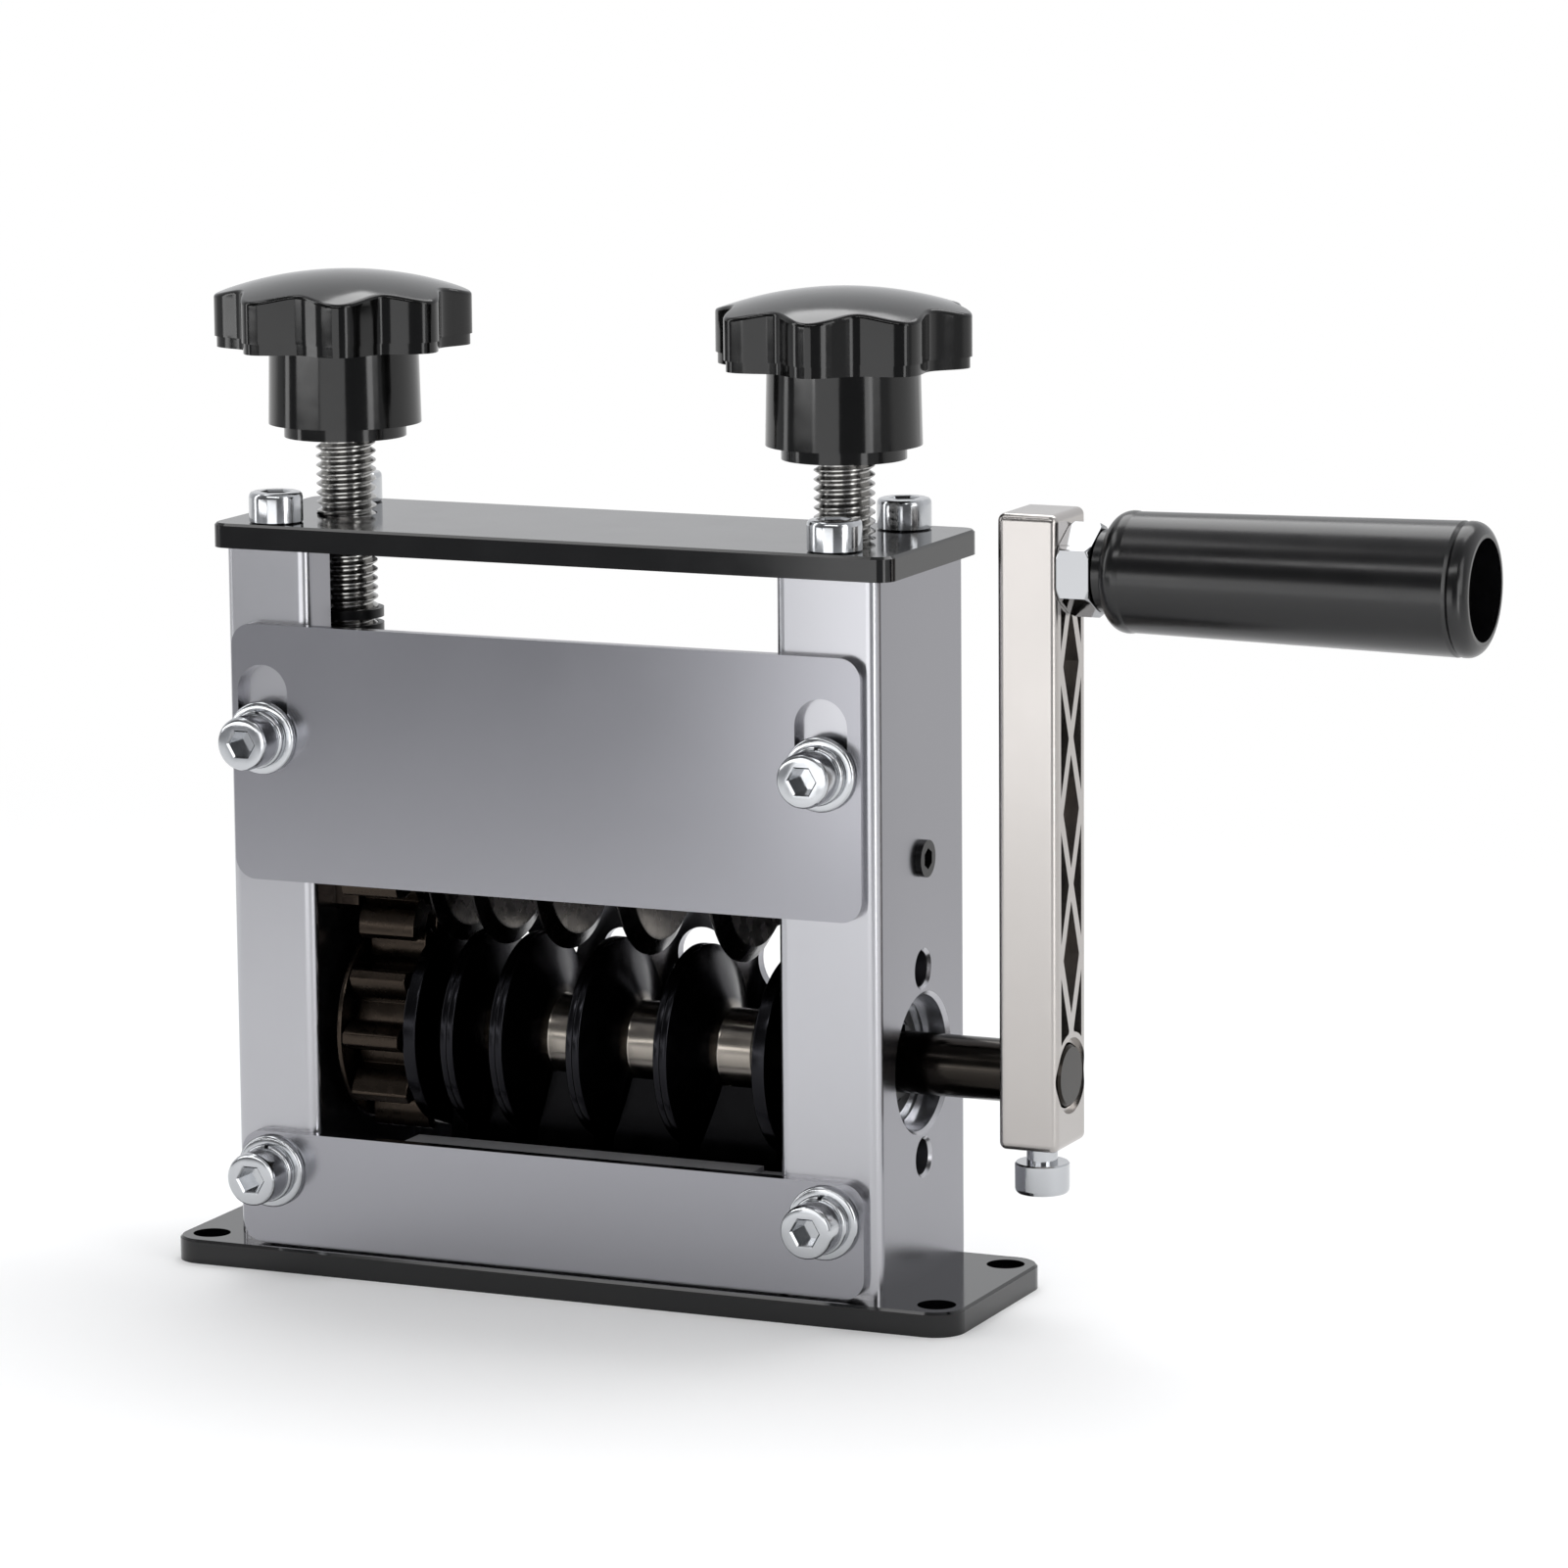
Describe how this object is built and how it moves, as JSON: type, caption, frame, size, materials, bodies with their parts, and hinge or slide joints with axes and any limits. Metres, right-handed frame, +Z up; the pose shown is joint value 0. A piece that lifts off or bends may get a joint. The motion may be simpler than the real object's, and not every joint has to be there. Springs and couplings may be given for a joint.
{
  "type": "hand crank wire stripper",
  "caption": "Bench wire stripper: a crank turns grooved feed wheels while round knives, pressed down by knob screws, slit the insulation.",
  "frame": {"origin": "middle of the base plate's underside, centre of its four bolt holes", "axes": "+X along the rollers towards the crank, +Z up, wires come out of the window towards -Y"},
  "size_m": [0.2192, 0.0528, 0.1629],
  "materials": {
    "satin_nickel_steel": "satin brushed nickel plate",
    "gloss_black_plate": "gloss black powder coat",
    "zinc_fastener": "bright zinc plate",
    "black_fastener": "black oxide",
    "black_oxide_steel": "black oxide, turned",
    "knife_steel": "black oxide with ground faces",
    "gear_steel": "dark oiled steel",
    "dark_shaft": "dark polished steel",
    "bearing_steel": "ground bearing steel",
    "seal_rubber": "black nitrile rubber",
    "bronze": "sintered bronze",
    "cast_alloy": "tumbled die-cast alloy",
    "chrome_nut": "polished",
    "screw_thread_steel": "bright thread",
    "knob_plastic": "gloss black moulded",
    "grip_plastic": "satin black moulded"
  },
  "bodies": {
    "frame": {"base_plate": "gloss_black_plate", "left_upright": "satin_nickel_steel", "right_upright": "satin_nickel_steel", "top_plate": "gloss_black_plate", "lower_cover": "satin_nickel_steel", "rear_guide_plate": "satin_nickel_steel", "cross_bar": "satin_nickel_steel", "scraper_comb": "black_oxide_steel", "base_screws": "black_fastener", "comb_screws": "black_fastener", "grub_screws": "black_fastener", "top_plate_screws": "zinc_fastener", "rear_plate_screws": "zinc_fastener", "cover_flat_washers": "zinc_fastener", "cover_spring_washers": "zinc_fastener", "cover_screws": "zinc_fastener", "guard_flat_washers": "zinc_fastener", "guard_spring_washers": "zinc_fastener", "guard_screws": "zinc_fastener", "bearing_outer_rings": "bearing_steel", "bearing_seals": "seal_rubber", "bore_circlips": "bearing_steel"},
    "guard": {"upper_guard": "satin_nickel_steel"},
    "drive": {"drive_shaft": "dark_shaft", "drive_key": "gear_steel", "drive_gear": "gear_steel", "left_drive_sleeve": "dark_shaft", "right_drive_sleeve": "dark_shaft", "drive_circlips": "black_fastener", "bearing_inner_rings": "bearing_steel", "feed_wheel_1": "black_oxide_steel", "feed_wheel_2": "black_oxide_steel", "feed_wheel_3": "black_oxide_steel", "feed_wheel_4": "black_oxide_steel", "feed_wheel_5": "black_oxide_steel", "crank_arm": "cast_alloy", "clamp_screw": "zinc_fastener", "handle_nut": "chrome_nut", "handle_bolt": "zinc_fastener", "handle_washer": "zinc_fastener"},
    "grip": {"handle_grip": "grip_plastic"},
    "carriage": {"left_bearing_block": "gear_steel", "right_bearing_block": "gear_steel", "bearing_bushes": "bronze"},
    "cutter": {"cutter_shaft": "dark_shaft", "cutter_key": "gear_steel", "cutter_gear": "gear_steel", "cutter_spacers": "dark_shaft", "blade_1": "knife_steel", "blade_2": "knife_steel", "blade_3": "knife_steel", "blade_4": "knife_steel", "blade_5": "knife_steel"},
    "left_knob_body": {"left_knob": "knob_plastic", "left_press_screw": "screw_thread_steel", "left_stop_rings": "black_fastener"},
    "right_knob_body": {"right_knob": "knob_plastic", "right_press_screw": "screw_thread_steel", "right_stop_rings": "black_fastener"}
  },
  "joints": [
    {"name": "crank_spin", "type": "hinge", "parent": "frame", "child": "drive", "pos_m": [0, 0.002, 0.039], "axis": [1, 0, 0], "continuous": true},
    {"name": "grip_spin", "type": "hinge", "parent": "drive", "child": "grip", "pos_m": [0.118, 0.002, 0.12], "axis": [1, 0, 0], "continuous": true},
    {"name": "press_slide", "type": "slide", "parent": "frame", "child": "carriage", "axis": [0, 0, 1], "range_m": [0, 0.003]},
    {"name": "cutter_spin", "type": "hinge", "parent": "carriage", "child": "cutter", "pos_m": [0, 0.002, 0.069], "axis": [1, 0, 0], "continuous": true},
    {"name": "left_knob_turn", "type": "hinge", "parent": "carriage", "child": "left_knob_body", "pos_m": [-0.0459, 0.002, 0.14], "axis": [0, 0, 1], "range_deg": [0, 720]},
    {"name": "right_knob_turn", "type": "hinge", "parent": "carriage", "child": "right_knob_body", "pos_m": [0.0429, 0.002, 0.14], "axis": [0, 0, 1], "range_deg": [0, 720]},
    {"name": "guard_slide", "type": "slide", "parent": "frame", "child": "guard", "axis": [0, 0, 1], "range_m": [-0.009, 0]}
  ],
  "couplings": [
    {"joint": "cutter_spin", "follows": "crank_spin", "ratio": -1},
    {"joint": "left_knob_turn", "follows": "press_slide", "rad_per_m": 4188.8},
    {"joint": "right_knob_turn", "follows": "press_slide", "rad_per_m": 4188.8}
  ]
}
